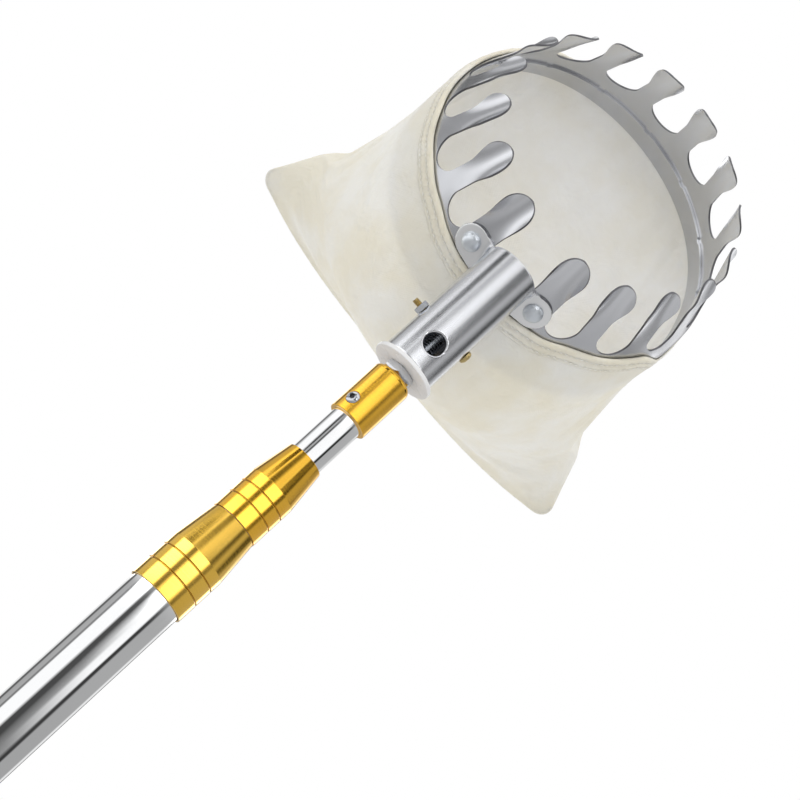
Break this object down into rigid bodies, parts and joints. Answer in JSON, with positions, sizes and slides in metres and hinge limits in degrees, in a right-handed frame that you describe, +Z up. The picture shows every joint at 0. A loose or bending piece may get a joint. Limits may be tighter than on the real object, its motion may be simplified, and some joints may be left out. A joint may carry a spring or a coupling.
{
  "type": "telescopic fruit picker",
  "caption": "Telescopic pole with gold twist locks, carrying a fingered metal crown that opens into a cloth bag, for picking fruit from a tree.",
  "frame": {"origin": "on the pole axis, at the butt end of the outer tube", "axes": "+Z up the pole towards the head, -Y out of the crown's mouth, +X across the crown"},
  "size_m": [0.206, 0.1357, 0.8968],
  "materials": {
    "chrome_tube": "mirror-polished tube",
    "black_plastic": "moulded",
    "white_plastic": "moulded",
    "gold_aluminium": "turned and gold anodised",
    "zinc_steel": "bright zinc plate",
    "yellow_zinc": "yellow zinc plate",
    "satin_steel": "satin nickel plate",
    "pale_plastic": "moulded",
    "cotton": "plain-weave cotton"
  },
  "bodies": {
    "outer_section": {"outer_tube": "chrome_tube", "butt_plug": "black_plastic", "lower_lock_base": "black_plastic", "lower_lock_collet": "white_plastic"},
    "lower_lock": {"lower_lock_nut": "gold_aluminium"},
    "middle_section": {"middle_tube": "chrome_tube", "middle_guide_bush": "black_plastic", "upper_lock_base": "black_plastic", "upper_lock_collet": "white_plastic"},
    "upper_lock": {"upper_lock_nut": "gold_aluminium"},
    "top_section": {"top_tube": "chrome_tube", "top_guide_bush": "black_plastic", "tip_connector": "gold_aluminium", "tip_screw": "zinc_steel"},
    "head": {"head_stud": "zinc_steel", "jam_nut": "zinc_steel", "end_disc": "pale_plastic", "inner_nut": "zinc_steel", "socket_bracket": "satin_steel", "cross_bolt": "yellow_zinc", "cross_nut": "zinc_steel", "bracket_rivets": "zinc_steel", "crown_ring": "satin_steel", "inner_hoop": "satin_steel", "bag_collar": "cotton", "bag_front_panel": "cotton", "bag_back_panel": "cotton"}
  },
  "joints": [
    {"name": "lower_lock_twist", "type": "hinge", "parent": "outer_section", "child": "lower_lock", "pos_m": [0, 0, 0.569], "axis": [0, 0, 1], "range_deg": [0, 180]},
    {"name": "middle_slide", "type": "slide", "parent": "outer_section", "child": "middle_section", "axis": [0, 0, 1], "range_m": [0, 0.45]},
    {"name": "upper_lock_twist", "type": "hinge", "parent": "middle_section", "child": "upper_lock", "pos_m": [0, 0, 0.61], "axis": [0, 0, 1], "range_deg": [0, 180]},
    {"name": "top_slide", "type": "slide", "parent": "middle_section", "child": "top_section", "axis": [0, 0, 1], "range_m": [-0.024, 0.4]},
    {"name": "head_swivel", "type": "hinge", "parent": "top_section", "child": "head", "pos_m": [0, 0, 0.6825], "axis": [0, 0, 1], "range_deg": [-180, 180]}
  ]
}
